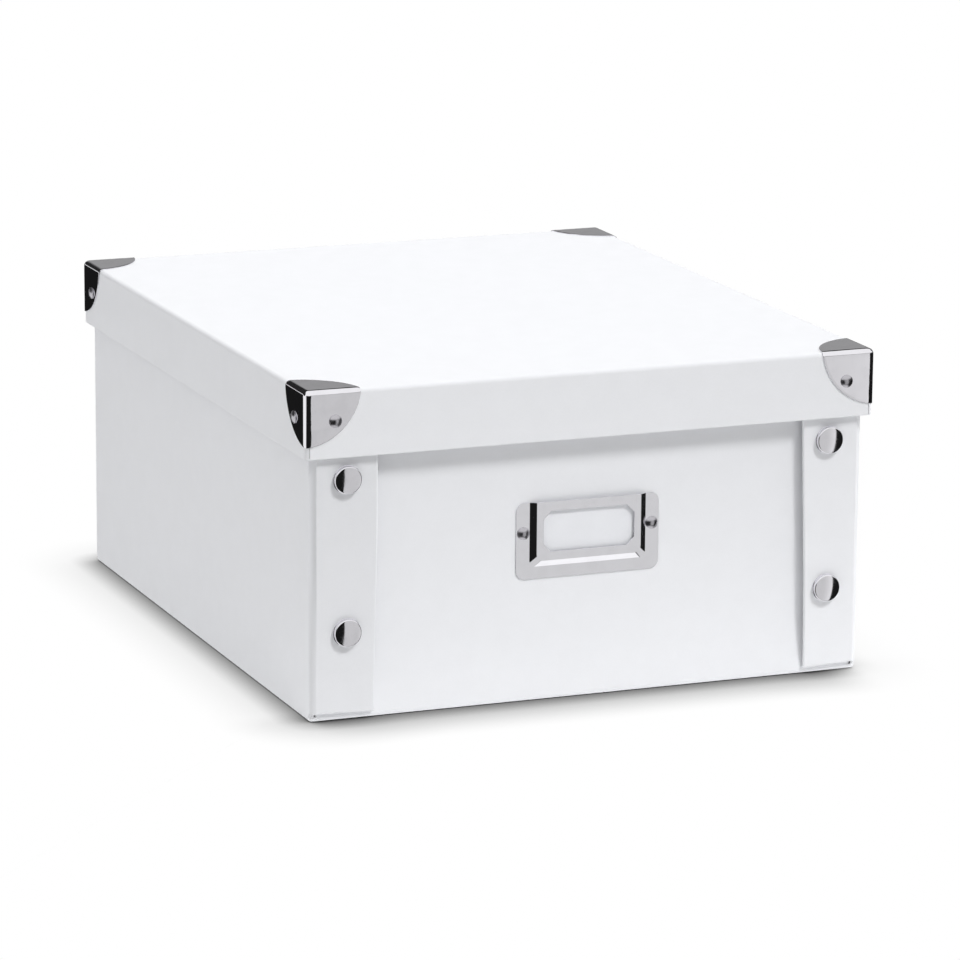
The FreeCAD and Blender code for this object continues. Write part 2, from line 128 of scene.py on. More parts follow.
class Nodes:
    """A node tree with short calls for adding and joining nodes. A value is a number or a socket."""

    def __init__(self, tree: Tree) -> None:
        """Keeps the tree that the calls work on."""
        self.tree = tree

    def fill(self, node: Node, inputs: dict) -> None:
        """Fills some of a node's inputs.

        Args:
            node: the node.
            inputs: the values, by the inputs' names or numbers.
        """
        for key, value in inputs.items():
            if isinstance(value, Socket):
                self.tree.links.new(value, node.inputs[key])
            else:
                node.inputs[key].default_value = value

    def add(self, kind: str, inputs: dict | None = None, **settings: object) -> Node:
        """Adds a node.

        Args:
            kind: Blender's name of the node type.
            inputs: values for some of its inputs.
            settings: its properties.

        Returns:
            The new node.
        """
        node = self.tree.nodes.new(kind)
        for name, value in settings.items():
            setattr(node, name, value)
        self.fill(node, inputs or {})
        return node

    def maths(self, operation: str, *values: object) -> Socket:
        """Works out one operation on some values."""
        return self.add("ShaderNodeMath", dict(enumerate(values)), operation=operation).outputs[0]

    def times(self, *values: object) -> Socket:
        """Multiplies two or more values."""
        return reduce(partial(self.maths, "MULTIPLY"), values)

    def greatest(self, *values: object) -> Socket:
        """Gives the greatest of two or more values."""
        return reduce(partial(self.maths, "MAXIMUM"), values)

    def ramp(self, value: object, start: float, end: float, first: object, last: object) -> Socket:
        """Maps a value from start to end smoothly on to first to last, with clamped ends."""
        inputs = dict(enumerate((value, start, end, first, last)))
        return self.add("ShaderNodeMapRange", inputs, interpolation_type="SMOOTHSTEP").outputs[0]

    def span(self, value: object, start: float, full: float, fade: float, end: float) -> Socket:
        """Gives 1 from full to fade and 0 outside start to end, smoothly between them."""
        return self.times(self.ramp(value, start, full, 0.0, 1.0), self.ramp(value, fade, end, 1.0, 0.0))

    def mix(self, factor: object, first: object, second: object) -> Socket:
        """Mixes two colours, where factor 0 gives the first."""
        return self.add("ShaderNodeMix", {0: factor, 6: first, 7: second}, data_type="RGBA").outputs[2]

    def between(self, factor: object, first: object, second: object) -> Socket:
        """Mixes two values, where factor 0 gives the first."""
        return self.add("ShaderNodeMix", {0: factor, 2: first, 3: second}).outputs[0]

    def place(self, kind: str = "Object") -> Socket:
        """Gives the place that is shaded, in one kind of coordinates."""
        return self.add("ShaderNodeTexCoord").outputs[kind]

    def parts(self, vector: Socket) -> Sockets:
        """Splits a vector into its X, Y and Z."""
        return self.add("ShaderNodeSeparateXYZ", {0: vector}).outputs

    def vector(self, operation: str, vector: Socket, output: str) -> Socket:
        """Works out one operation on a vector."""
        return self.add("ShaderNodeVectorMath", {0: vector}, operation=operation).outputs[output]

    def surface(self, kind: str, shader: Node) -> None:
        """Joins a shader to the tree's output node of a kind."""
        self.add(kind, {"Surface": shader.outputs[0]})


class Effect(Nodes):
    """A shared shader node group, which works out numbers from places on an object."""

    def __init__(self, name: str, inputs: Sequence[str], outputs: Sequence[str]) -> None:
        """Starts the group.

        Args:
            name: its name.
            inputs: names of its inputs.
            outputs: names of its outputs.
        """
        super().__init__(bpy.data.node_groups.new(name, "ShaderNodeTree"))
        for names, way in ((inputs, "INPUT"), (outputs, "OUTPUT")):
            for socket in names:
                self.tree.interface.new_socket(socket, in_out=way, socket_type="NodeSocketFloat")
        self.given = self.add("NodeGroupInput").outputs
        self.result = self.add("NodeGroupOutput")
        self.where = self.place()

    def noise(self, scale: float, detail: float, where: Socket | None = None) -> Socket:
        """Adds noise, at the shaded place unless another is given."""
        inputs = {"Vector": self.where if where is None else where, "Scale": scale, "Detail": detail}
        return self.add("ShaderNodeTexNoise", inputs).outputs[0]

    def relief(self, fine: Socket, slow: Socket) -> Socket:
        """Adds up two reliefs, whose depths are the group's first and second input."""
        return self.maths("ADD", self.times(fine, self.given[0]), self.times(slow, self.given[1]))

    def done(self, **results: Socket) -> Tree:
        """Joins the group's outputs, and gives the group."""
        self.fill(self.result, results)
        return self.tree


def paper_fibre() -> Tree:
    """Fine grain, soft mottling and slow waves of paper glued on board.

    Returns:
        The node group, which gives a Shade from 0 to 1 and a Height in metres.
    """
    effect = Effect("paper_fibre", ("Grain", "Waves"), ("Shade", "Height"))
    grain = effect.noise(scale=1500.0, detail=3.0)
    mottle = effect.noise(scale=120.0, detail=3.0)
    waves = effect.noise(scale=11.0, detail=1.0)
    shade = effect.maths("ADD", effect.times(grain, 0.5), effect.times(mottle, 0.5))
    return effect.done(Shade=shade, Height=effect.relief(grain, waves))


def metal_marks() -> Tree:
    """Hair scratches, finger smudges and the slight ripple of plated sheet.

    Returns:
        The node group, which gives a Smudge from 0 to 1 and a Height in metres.
    """
    effect = Effect("metal_marks", ("Scratches", "Ripple"), ("Smudge", "Height"))
    drawn_out = {"Vector": effect.where, "Rotation": (0.3, 0.5, 0.7), "Scale": (60, 900, 2400)}
    hair = effect.noise(1.0, 2.0, effect.add("ShaderNodeMapping", drawn_out).outputs[0])
    smudge = effect.noise(scale=160.0, detail=4.0)
    ripple = effect.noise(scale=90.0, detail=1.0)
    return effect.done(Smudge=effect.ramp(smudge, 0.4, 0.7, 0.0, 1.0), Height=effect.relief(hair, ripple))


def pulp_fleck() -> Tree:
    """Flecks and coarse fibre of recycled board.

    Returns:
        The node group, which gives a Fleck from 0 to 1 and a Height in metres.
    """
    effect = Effect("pulp_fleck", ("Coarse",), ("Fleck", "Height"))
    fibre = effect.noise(scale=700.0, detail=5.0)
    flecks = effect.add("ShaderNodeTexVoronoi", {"Vector": effect.where, "Scale": 420.0})
    spots = effect.ramp(flecks.outputs["Distance"], 0.08, 0.3, 1.0, 0.0)
    return effect.done(Fleck=effect.greatest(spots, fibre), Height=effect.times(fibre, effect.given[0]))


def painted_flap_shade_mask() -> Tree:
    """Where the paper lies on the outside of one of the two left flaps, which get a painted shade that makes
    them a little greyer than the walls.

    Returns:
        The node group, which gives a Flap share from 0 to 1, where the shade is painted.
    """
    effect = Effect("painted_flap_shade_mask", (), ("Flap",))
    x, y, z = effect.parts(effect.where)
    spans = ((x, FLAP_ACROSS), (effect.maths("ABSOLUTE", y), FLAP_OUT), (z, FLAP_UP))
    return effect.done(Flap=effect.times(*(effect.span(value, *ends) for value, ends in spans)))


def blank_material(name: str) -> tuple[Nodes, Material]:
    """Starts a material.

    Args:
        name: its name.

    Returns:
        Its empty node tree, and the material.
    """
    made = bpy.data.materials.new(name)
    made.use_nodes = True
    made.node_tree.nodes.clear()
    return Nodes(made.node_tree), made


@dataclass(frozen=True)
class Finish:
    """A finish: its two colours, and the shared effect that mixes them and gives its relief."""

    name: str
    effect: Tree
    colours: tuple

    def depths(self) -> dict:
        """The effect's inputs."""
        raise NotImplementedError

    def looks(self, nodes: Nodes, marks: Sockets) -> dict:
        """The shader's inputs, worked out from the effect's outputs."""
        raise NotImplementedError

    def material(self) -> Material:
        """Builds the material.

        Returns:
            The new material.
        """
        nodes, made = blank_material(self.name)
        marks = nodes.add("ShaderNodeGroup", self.depths(), node_tree=self.effect).outputs
        bump = nodes.add("ShaderNodeBump", {"Height": marks["Height"], "Distance": 1.0, "Strength": 1.0})
        inputs = self.looks(nodes, marks) | {"Normal": bump.outputs[0]}
        nodes.surface("ShaderNodeOutputMaterial", nodes.add("ShaderNodeBsdfPrincipled", inputs))
        return made


@dataclass(frozen=True)
class PaperFinish(Finish):
    """Matt white paper, its darker colour first: its roughness, and the depths of grain and waves."""

    roughness: float
    grain: float
    waves: float
    mask: Tree | None = None
    flap_painted_shade: float = 0.0
    specular: float = 0.1
    uneven: float = 0.05
    shade_range: tuple = (0.35, 0.65)

    def depths(self) -> dict:
        """The depths of grain and waves."""
        return {"Grain": self.grain, "Waves": self.waves}

    def looks(self, nodes: Nodes, marks: Sockets) -> dict:
        """Mixes the two colours, and paints shade on the left flaps where the finish has a mask for them.

        Args:
            nodes: the material's nodes.
            marks: the effect's outputs.

        Returns:
            The shader's inputs.
        """
        smoother, rougher = self.roughness - self.uneven, self.roughness + self.uneven
        rough = nodes.ramp(marks["Shade"], *self.shade_range, smoother, rougher)
        colour = nodes.mix(nodes.ramp(marks["Shade"], *self.shade_range, 0.0, 1.0), *self.colours)
        if self.mask:
            flap = nodes.add("ShaderNodeGroup", node_tree=self.mask).outputs["Flap"]
            # painted shade: the same paper is darkened on the left flaps, in place of the weaker light that
            # falls there
            colour = nodes.mix(nodes.times(flap, self.flap_painted_shade), colour, BLACK)
        return {"Base Color": colour, "Roughness": rough, "Specular IOR Level": self.specular}


@dataclass(frozen=True)
class MetalFinish(Finish):
    """Plated metal, clean and then smudged: its two roughnesses, and the depths of scratches and ripple."""

    roughness: tuple
    scratches: float
    ripple: float

    def depths(self) -> dict:
        """The depths of scratches and ripple."""
        return {"Scratches": self.scratches, "Ripple": self.ripple}

    def looks(self, nodes: Nodes, marks: Sockets) -> dict:
        """Dulls the metal where it is smudged."""
        looks = {"Base Color": nodes.mix(marks["Smudge"], *self.colours), "Metallic": 1.0}
        return looks | {"Roughness": nodes.ramp(marks["Smudge"], 0.0, 1.0, *self.roughness)}


@dataclass(frozen=True)
class BoardFinish(Finish):
    """Raw grey board, and then the colour of its flecks."""

    roughness: float
    coarse: float

    def depths(self) -> dict:
        """The depth of the coarse fibre."""
        return {"Coarse": self.coarse}

    def looks(self, nodes: Nodes, marks: Sockets) -> dict:
        """Scatters the flecks over the board."""
        return {"Base Color": nodes.mix(marks["Fleck"], *self.colours), "Roughness": self.roughness}


class Finishes:
    """Every material of the box, by the slot it belongs to."""

    def __init__(self) -> None:
        """Builds the shared effects and then the materials."""
        fibre, marks, pulp, mask = paper_fibre(), metal_marks(), pulp_fleck(), painted_flap_shade_mask()
        white = (0.858, 0.866, 0.89, 1), (0.872, 0.88, 0.905, 1)
        inside = (0.84, 0.84, 0.83, 1), (0.87, 0.87, 0.86, 1)
        card = (0.84, 0.85, 0.88, 1), (0.86, 0.87, 0.90, 1)
        steel = (0.85, 0.84, 0.875, 1), (0.82, 0.81, 0.845, 1)
        bright = (0.94, 0.935, 0.97, 1), (0.92, 0.915, 0.95, 1)
        dark = (0.52, 0.51, 0.54, 1), (0.45, 0.44, 0.47, 1)
        grey = (0.30, 0.285, 0.26, 1), (0.17, 0.16, 0.145, 1)
        finishes = {
            # the cover paper carries the painted shade on the left flaps
            Slot.COVER: PaperFinish("cover_paper", fibre, white, 0.5, 0.012 * MM, 0.12 * MM, mask, 0.08),
            Slot.LINER: PaperFinish("liner_paper", fibre, inside, 0.75, 0.02 * MM, 0.1 * MM),
            Slot.CARD: PaperFinish("card_paper", fibre, card, 0.65, 0.015 * MM, 0.05 * MM),
            Slot.CORNER: MetalFinish("corner_plating", marks, steel, (0.07, 0.1), 0.0004 * MM, 0.002 * MM),
            Slot.RIVET: MetalFinish("rivet_plating", marks, dark, (0.27, 0.34), 0.0006 * MM, 0.006 * MM),
            Slot.STUD: MetalFinish("stud_plating", marks, steel, (0.07, 0.11), 0.0004 * MM, 0.001 * MM),
            Slot.HOLDER: MetalFinish("holder_plating", marks, bright, (0.08, 0.12), 0.0004 * MM, 0.003 * MM),
            Slot.BOARD: BoardFinish("raw_grey_board", pulp, grey, 0.95, 0.03 * MM),
        }
        self.by_slot = {slot: finish.material() for slot, finish in finishes.items()}

    def dress_node(self, node: str, slot: Slot) -> None:
        """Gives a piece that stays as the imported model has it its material.

        Args:
            node: name of the piece.
            slot: the finish it takes.
        """
        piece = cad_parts[node]
        if not piece.material_slots:
            piece.data.materials.append(None)
        for place in piece.material_slots:
            place.material = self.by_slot[slot]
        LOG.info("%s keeps its shape, with %s", node, slot.value)

    def settle(self, bm: Mesh, name: str, slot: Slot, body: Body, *replaced: str) -> None:
        """Turns a finished mesh into a piece that rides on its body.

        Args:
            bm: the mesh, which is used up.
            name: name of the piece.
            slot: the finish it takes.
            body: the body that it rides on.
            replaced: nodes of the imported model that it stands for.
        """
        bm.normal_update()
        for face in bm.faces:
            face.smooth = True
        for edge in bm.edges:
            edge.smooth = len(edge.link_faces) != 2 or edge.calc_face_angle() < SHARP_FROM
        piece = add_object(bm, name, self.by_slot[slot])
        if slot in EVEN_SHADED:
            piece.modifiers.new("even_shading", "WEIGHTED_NORMAL").keep_sharp = True
        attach(piece, body.value)
        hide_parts(*replaced)
        LOG.info("%s: %d faces, on body %s", name, len(piece.data.polygons), body.value)


def add_object(bm: Mesh, name: str, material: Material) -> Thing:
    """Turns a mesh into an object of the scene.

    Args:
        bm: the mesh, which is used up.
        name: the object's name.
        material: its material.

    Returns:
        The new object.
    """
    mesh = bpy.data.meshes.new(name)
    bm.to_mesh(mesh)
    bm.free()
    mesh.materials.append(material)
    made = bpy.data.objects.new(name, mesh)
    bpy.context.scene.collection.objects.link(made)
    return made


def block(bm: Mesh, low: Vector, high: Vector) -> None:
    """Adds a block.

    Args:
        bm: the mesh to add to.
        low: its lowest corner.
        high: its highest corner.
    """
    verts = bmesh.ops.create_cube(bm, size=1.0)["verts"]
    bmesh.ops.scale(bm, vec=high - low, verts=verts)
    bmesh.ops.translate(bm, vec=(low + high) / 2, verts=verts)
    bm.normal_update()


def cut(bm: Mesh, place: Vector, across: Vector) -> None:
    """Cuts every face that crosses the plane through a place, across a direction."""
    geometry = bm.verts[:] + bm.edges[:] + bm.faces[:]
    bmesh.ops.bisect_plane(bm, geom=geometry, dist=ON_PLANE, plane_co=place, plane_no=across)


def drop_faces(bm: Mesh, unwanted: Callable[[Face], bool]) -> None:
    """Deletes the faces that a test picks."""
    bmesh.ops.delete(bm, geom=[face for face in bm.faces if unwanted(face)], context="FACES")
    bm.normal_update()


def hard_edges(bm: Mesh, above: float = 60.0) -> list[Edge]:
    """The edges whose two faces meet at more than an angle in degrees."""
    limit = math.radians(above)
    return [edge for edge in bm.edges if len(edge.link_faces) == 2 and edge.calc_face_angle() > limit]


def round_edges(bm: Mesh, edges: list[Edge], radius: float, segments: int) -> None:
    """Rounds edges.

    Args:
        bm: the mesh.
        edges: the edges.
        radius: the rounding's radius.
        segments: faces across it.
    """
    settings = {"segments": segments, "profile": 0.5, "affect": "EDGES", "material": -1}
    bmesh.ops.bevel(bm, geom=edges, offset=radius, clamp_overlap=True, **settings)
    bm.normal_update()


def thicken(bm: Mesh, thickness: float = PAPER) -> Mesh:
    """Gives an open sheet a thickness, behind its faces.

    Args:
        bm: the mesh.
        thickness: the sheet's thickness.

    Returns:
        The same mesh.
    """
    bm.normal_update()
    bmesh.ops.solidify(bm, geom=bm.faces[:], thickness=thickness)
    bm.normal_update()
    return bm


def bent_sheet(outside: Vector, place: Callable[[float, float], Vector], columns: int, rows: int) -> Mesh:
    """A grid of faces bent into shape.

    Args:
        outside: the direction that its faces point to, more or less.
        place: gives the point for two shares from 0 to 1.
        columns: faces one way.
        rows: faces the other way.

    Returns:
        The new mesh, without thickness.
    """
    bm = bmesh.new()
    bmesh.ops.create_grid(bm, x_segments=columns, y_segments=rows, size=0.5)
    for vert in bm.verts:
        vert.co = place(vert.co.x + 0.5, vert.co.y + 0.5)
    bm.normal_update()
    if sum((face.normal * face.calc_area() for face in bm.faces), Vector()).dot(outside) < 0:
        bmesh.ops.reverse_faces(bm, faces=bm.faces)
    return bm


def spread(bm: Mesh, part: Mesh, signs: Signs = ((1, 1),)) -> Mesh:
    """Adds mirrored copies of a part to a mesh.

    Args:
        bm: the mesh to add to.
        part: the part, which is used up.
        signs: for each copy, the signs that its X and Y are multiplied by.

    Returns:
        The mesh.
    """
    for x, y in signs:
        copy = part.copy()
        bmesh.ops.scale(copy, vec=(x, y, 1), verts=copy.verts)
        if x * y < 0:
            bmesh.ops.reverse_faces(copy, faces=copy.faces)
        passing = bpy.data.meshes.new("passing")
        copy.to_mesh(passing)
        bm.from_mesh(passing)
        bpy.data.meshes.remove(passing)
        copy.free()
    part.free()
    return bm


def turned(outline: Outline, foot: Vector, outward: Vector, steps: int = 56) -> Mesh:
    """A solid turned about an axis.

    Args:
        outline: points of radius and height, from the axis to the axis.
        foot: where the axis starts.
        outward: the axis's direction.
        steps: faces round it.

    Returns:
        The new mesh.
    """
    bm = bmesh.new()
    line = [bm.verts.new((radius, 0, height)) for radius, height in outline]
    edges = [bm.edges.new(pair) for pair in zip(line, line[1:])]
    about = {"cent": (0, 0, 0), "axis": UP, "dvec": (0, 0, 0), "angle": 2 * math.pi}
    bmesh.ops.spin(bm, geom=line + edges, steps=steps, use_merge=True, **about)
    bmesh.ops.remove_doubles(bm, verts=bm.verts, dist=ON_PLANE)
    bmesh.ops.recalc_face_normals(bm, faces=bm.faces)
    turn = UP.rotation_difference(outward).to_matrix().to_4x4()
    bmesh.ops.transform(bm, matrix=Matrix.Translation(foot) @ turn, verts=bm.verts)
    bm.normal_update()
    return bm


def stretched(low: Vector, high: Vector, ways: Sequence[Vector], by: float) -> tuple[Vector, Vector]:
    """Moves some faces of a block outwards.

    Args:
        low: the block's lowest corner.
        high: its highest corner.
        ways: the directions that the faces point to.
        by: how far they move, below 0 to move them in.

    Returns:
        The new lowest and highest corner.
    """
    low, high = low.copy(), high.copy()
    for way in ways:
        low += Vector(map(min, way, Vector())) * by
        high += Vector(map(max, way, Vector())) * by
    return low, high


def clamped(value: float, low: float = 0.0, high: float = 1.0) -> float:
    """A value, kept between two limits."""
    return min(max(value, low), high)


def share(value: float, low: float, high: float) -> float:
    """How far a value is from low to high, smoothly from 0 to 1."""
    part = clamped((value - low) / (high - low))
    return part * part * (3 - 2 * part)


def quarter(turn: float, first: Vector, second: Vector, fullness: float) -> Vector:
    """A point of a quarter round of radius 1, plain or squared off.

    Args:
        turn: from 0 to 1 along it.
        first: where it starts.
        second: where it ends.
        fullness: 2 for a plain round, more for a squarer one, and less than 1 for a hollow one.

    Returns:
        The point.
    """
    across, up = math.cos(math.pi / 2 * turn), math.sin(math.pi / 2 * turn)
    reach = (abs(across) ** fullness + abs(up) ** fullness) ** (-1 / fullness)
    return (first * across + second * up) * reach


@dataclass
class Panel:
    """A flat panel of board between its papers, which wrap its raw edges and run on at its folds."""

    low: Vector
    high: Vector
    outward: Vector
    raw: tuple
    bend: Callable[[Vector], Vector] = Vector
    slices: tuple = ()
    edge_round: float = 0.55 * MM
    liner_proud: float = 0.12 * MM

    @classmethod
    def around(cls, node: str, outward: Vector, raw: tuple) -> "Panel":
        """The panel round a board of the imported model, with an outer face and raw edges that point so."""
        return cls(*stretched(*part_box(node), (outward, -outward, *raw), PAPER), outward, raw)

    def edge(self, direction: Vector) -> float:
        """How far the panel reaches in a direction."""
        return max(self.low.dot(direction), self.high.dot(direction))

    def layer(self, near: float, far: float, inset: float) -> Mesh:
        """One layer of the panel, between two depths below its outer face.

        Args:
            near: depth of its outer side.
            far: depth of its inner side.
            inset: how far it stops short of the wrapped edges.

        Returns:
            The layer as a block, bent with the panel.
        """
        low, high = stretched(self.low, self.high, self.raw, -inset)
        axis = max(range(3), key=lambda i: abs(self.outward[i]))
        sides = sorted(self.outward[axis] * (self.edge(self.outward) - depth) for depth in (near, far))
        low[axis], high[axis] = sides
        bm = bmesh.new()
        block(bm, low, high)
        return self.bent(bm)

    def bent(self, bm: Mesh) -> Mesh:
        """Bends a mesh with the panel.

        Args:
            bm: the mesh, in the flat panel's place.

        Returns:
            The same mesh, bent.
        """
        for height in self.slices:
            cut(bm, UP * height, UP)
        for vert in bm.verts:
            vert.co = self.bend(vert.co)
        bm.normal_update()
        return bm

    def lined(self, face: Face) -> bool:
        """Whether a face of the flat panel lies where the liner covers the board."""
        middle = face.calc_center_median()
        inside = all(middle.dot(way) < self.edge(way) - TURN_IN for way in self.raw)
        return inside and face.normal.dot(self.outward) < -ALIKE

    def cover(self) -> Mesh:
        """The cover paper: the outer face, the wrapped edges and the margins turned in behind them.

        Returns:
            The paper with its thickness.
        """
        bm = bmesh.new()
        block(bm, self.low, self.high)
        wrapped = (*self.raw, self.outward, -self.outward)
        drop_faces(bm, lambda face: not any(face.normal.dot(way) > ALIKE for way in wrapped))
        for direction in self.raw:
            cut(bm, direction * (self.edge(direction) - TURN_IN), direction)
        drop_faces(bm, self.lined)
        round_edges(bm, hard_edges(bm), self.edge_round, segments=3)
        return self.bent(thicken(bm))

    def board(self) -> Mesh:
        """The panel's board."""
        return self.layer(PAPER, PANEL - PAPER, PAPER)

    def liner(self) -> Mesh:
        """The panel's liner, which laps over the cover's turned-in margin."""
        return self.layer(PANEL - PAPER, PANEL + self.liner_proud, TURN_IN - PAPER)


@dataclass
class BoxBody:
    """The box below the lid: walls, flaps, base, and the paper folds that join them.

    A fullness says how square a fold is, as in quarter, and a pair of them holds low down and higher up.
    A taper is how much wider a flap is at its foot and its top, and the heights where that changes.
    """

    finishes: Finishes
    straight_height: float = 36 * MM
    under_turn: float = 15 * MM
    flap_foot_rise: float = 0.8 * MM
    flap_foot_run: float = 25 * MM
    cover_fullness: tuple = (1.6, 0.75)
    liner_fullness: tuple = (1.8, 1.8)
    fold_fullness: float = 3.0
    corner_foot_share: float = 0.8
    hollow: tuple = (10 * MM, 75 * MM)
    flap_edge_round: float = 0.8 * MM
    flap_board_round: float = 0.65 * MM
    left_taper: tuple = (-0.4 * MM, 1.1 * MM, 10 * MM, 95 * MM)
    right_taper: tuple = (-3.3 * MM, 0.0, 10 * MM, 150 * MM)
    slice_count: int = 10

    def __post_init__(self) -> None:
        """Reads the panels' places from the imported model."""
        low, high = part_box("front_wall_board")
        self.foot = low.z
        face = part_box("front_stud_buttons")[1].y
        self.lean = face - (low.y - PAPER)
        wall_x = high.x + PAPER
        corners = Vector((-wall_x, face, self.foot)), Vector((wall_x, face + PANEL, high.z + PAPER))
        steps = range(1, self.slice_count + 1)
        rise = self.straight_height - self.foot
        slices = tuple(self.foot + rise * i / self.slice_count for i in steps)
        self.front_wall = Panel(*corners, FRONT, (LEFT, RIGHT, UP), self.leaning, slices)
        self.left_wall = Panel.around("left_wall_board", LEFT, (UP,))
        self.base = Panel.around("base_board", DOWN, ())
        self.flap = Panel.around("front_left_flap_board", FRONT, (RIGHT, UP, DOWN))
        self.flap.slices = tuple(self.flap.low.z + self.flap_foot_run * i / 2 for i in steps)
        self.flap.edge_round = self.flap_edge_round
        tapers = {1: self.left_taper, -1: self.right_taper}
        bends = {side: partial(self.sloping, taper) for side, taper in tapers.items()}
        self.flaps = {side: replace(self.flap, bend=bend) for side, bend in bends.items()}

    def leaning(self, point: Vector) -> Vector:
        """A point of the front wall, whose foot leans out to the base's fold."""
        down = clamped((self.straight_height - point.z) / (self.straight_height - self.foot))
        return point + FRONT * (self.lean * down * down)

    def sloping(self, taper: tuple, point: Vector) -> Vector:
        """A point of a flap, whose foot slopes up towards its fold and whose free edge is cut at a slant.

        Args:
            taper: the flap's taper.
            point: the same point of a plain flap.

        Returns:
            The point.
        """
        flap = self.flap
        along = (flap.high.x - point.x) / (flap.high.x - flap.low.x)
        down = clamped(1 - (point.z - flap.low.z) / self.flap_foot_run)
        at_foot, at_top, low, high = taper
        wider = at_foot + (at_top - at_foot) * share(point.z, low, high)
        return point + UP * (self.flap_foot_rise * along * down) + RIGHT * (wider * (1 - along))

    def hinge(self, depth: float, fullness: tuple, inset: float) -> Mesh:
        """The upright paper fold between the left wall and the front left flap.

        Args:
            depth: how far it lies inside the outer faces.
            fullness: its two fullnesses.
            inset: how far it stops short of the flap's foot and top.

        Returns:
            The paper with its thickness.
        """
        centre = Vector((self.flap.low.x, self.left_wall.low.y, 0))
        radius = centre.x - self.left_wall.low.x - depth
        foot = self.flap.low.z + self.flap_foot_rise + inset
        top = self.flap.high.z - inset
        low, high = fullness

        def place(across: float, up: float) -> Vector:
            """A point of the fold."""
            full = low + (high - low) * share(foot + (top - foot) * up, *self.hollow)
            return centre + quarter(across, LEFT, FRONT, full) * radius + UP * (foot + (top - foot) * up)

        return thicken(bent_sheet(LEFT + FRONT, place, columns=32, rows=48))

    def foot_fold(self, depth: float, outward: Vector, start: Vector, end: Vector) -> Mesh:
        """The paper fold between the base and a wall.

        Args:
            depth: how far it lies inside the outer faces.
            outward: direction from the base to the wall's outside.
            start: one end of the line that the fold turns about.
            end: its other end.

        Returns:
            The paper with its thickness.
        """
        def place(turn: float, along: float) -> Vector:
            """A point of the fold."""
            reach = quarter(turn, DOWN, outward, self.fold_fullness)
            return start.lerp(end, along) + reach * (self.foot - depth)

        return thicken(bent_sheet(outward + DOWN, place, columns=8, rows=1))

    def foot_corner(self, depth: float) -> Mesh:
        """The paper gathered round the base's front left corner, from the floor up to the flap's fold.

        Args:
            depth: how far it lies inside the outer faces.

        Returns:
            The paper with its thickness.
        """
        centre = Vector((self.base.low.x, self.base.low.y, self.foot))
        straight = self.flap.low.z + self.flap_foot_rise - self.foot
        full, part = self.fold_fullness, self.corner_foot_share

        def place(turn: float, rise: float) -> Vector:
            """A point of the corner, which runs straight up above its rounded foot."""
            reach = quarter(min(rise / part, 1), DOWN, quarter(turn, LEFT, FRONT, full), full)
            return centre + reach * (self.foot - depth) + UP * (max(rise - part, 0) / (1 - part) * straight)

        bm = bent_sheet(LEFT + FRONT + DOWN, place, columns=8, rows=10)
        bmesh.ops.remove_doubles(bm, verts=bm.verts, dist=SAME_PLACE)
        return thicken(bm)

    def base_strip(self) -> Mesh:
        """The cover's margin that is turned under the base.

        Returns:
            The paper with its thickness.
        """
        bm = self.base.layer(0, PAPER, 0)
        drop_faces(bm, lambda face: face.normal.z > -ALIKE)
        bmesh.ops.inset_region(bm, faces=bm.faces[:], thickness=self.under_turn)
        drop_faces(bm, lambda face: face.calc_center_median().length < self.under_turn)
        return thicken(bm)

    def paper(self, layer: Callable[[Panel], Mesh], under: Mesh, depth: float, *fold: object) -> Mesh:
        """One of the body's two papers, over every panel and every fold.

        Args:
            layer: makes the paper of one panel.
            under: the paper of the base.
            depth: how far the paper's folds lie inside the outer faces.
            fold: the upright folds' fullness and inset.

        Returns:
            The whole paper.
        """
        bm = spread(bmesh.new(), layer(self.front_wall), ENDS)
        spread(bm, layer(self.left_wall), SIDES)
        for side, flap in self.flaps.items():
            spread(bm, layer(flap), ((side, 1), (side, -1)))
        spread(bm, under)
        low, high = self.base.low, self.base.high
        near = Vector((low.x, low.y, self.foot))
        spread(bm, self.hinge(depth, *fold), CORNERS)
        spread(bm, self.foot_fold(depth, LEFT, near, Vector((low.x, high.y, self.foot))), SIDES)
        spread(bm, self.foot_corner(depth), CORNERS)
        return spread(bm, self.foot_fold(depth, FRONT, near, Vector((-low.x, low.y, self.foot))), ENDS)

    def build(self) -> None:
        """Builds the papers, the bent wall boards and the flap boards, and dresses the boards that stay."""
        settle = self.finishes.settle
        cover = self.paper(Panel.cover, self.base_strip(), 0, self.cover_fullness, 0)
        settle(cover, "body_cover", Slot.COVER, Body.BOX, "body_cover_paper")
        liner = self.paper(Panel.liner, self.base.liner(), PANEL - PAPER, self.liner_fullness, TURN_IN)
        settle(liner, "body_liner", Slot.LINER, Body.BOX, "body_liner_paper")
        for end, sign in END_NAMES:
            board = spread(bmesh.new(), self.front_wall.board(), ((1, sign),))
            settle(board, end + "_wall_core", Slot.BOARD, Body.BOX, end + "_wall_board")
        for name, signs in zip(CORNER_NAMES, CORNERS):
            core = self.flaps[signs[0]].board()
            round_edges(core, hard_edges(core), self.flap_board_round, segments=3)
            board = spread(bmesh.new(), core, (signs,))
            settle(board, name + "_flap_core", Slot.BOARD, Body.BOX, name + "_flap_board")
        for node in ("base_board", "left_wall_board", "right_wall_board"):
            self.finishes.dress_node(node, Slot.BOARD)
        self.finishes.dress_node("base_cover_sheet", Slot.COVER)


